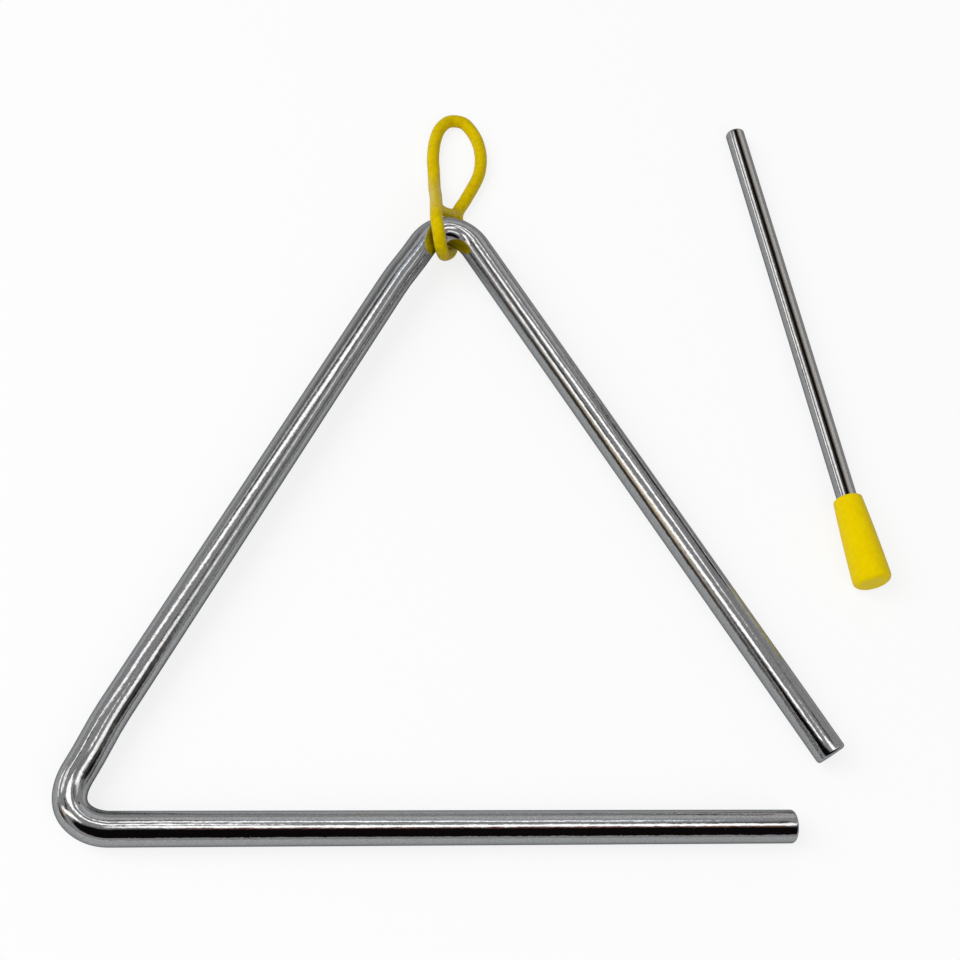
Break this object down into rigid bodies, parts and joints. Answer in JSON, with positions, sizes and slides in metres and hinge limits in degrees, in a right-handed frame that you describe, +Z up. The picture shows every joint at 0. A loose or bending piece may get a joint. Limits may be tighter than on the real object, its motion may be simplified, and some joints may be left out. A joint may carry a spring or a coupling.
{
  "type": "triangle instrument",
  "caption": "Hand-held percussion triangle of bent steel rod, open at one corner, with a moulded finger loop at its top bend and a gripped beater.",
  "frame": {"origin": "middle of the bottom of the whole set's box, on the surface that it lies on", "axes": "+X along the bottom leg towards its cut end, +Y in the surface from the bottom leg towards the top bend, +Z up from the surface"},
  "size_m": [0.2112, 0.2158, 0.0166],
  "materials": {
    "bar_chrome": "chrome plate over a drawn steel bar, bright with faint draw lines",
    "rod_chrome": "chrome plate over a drawn steel rod, bright with faint draw lines",
    "loop_vinyl": "soft vinyl, moulded in yellow, satin with a faint grain",
    "grip_vinyl": "soft vinyl, dip-moulded in yellow, satin"
  },
  "bodies": {
    "triangle": {"triangle_bar": "bar_chrome"},
    "holder": {"holder_loop": "loop_vinyl"},
    "beater": {"beater_rod": "rod_chrome", "beater_grip": "grip_vinyl"}
  },
  "joints": [
    {"name": "holder_swing", "type": "hinge", "parent": "triangle", "child": "holder", "pos_m": [-0.01038, 0.05999, 0.0081], "axis": [0.9703, 0.2418, 0.006], "range_deg": [0, 150]},
    {"name": "beater_lift", "type": "slide", "parent": "triangle", "child": "beater", "axis": [0, 0, 1], "range_m": [0, 0.08]}
  ]
}
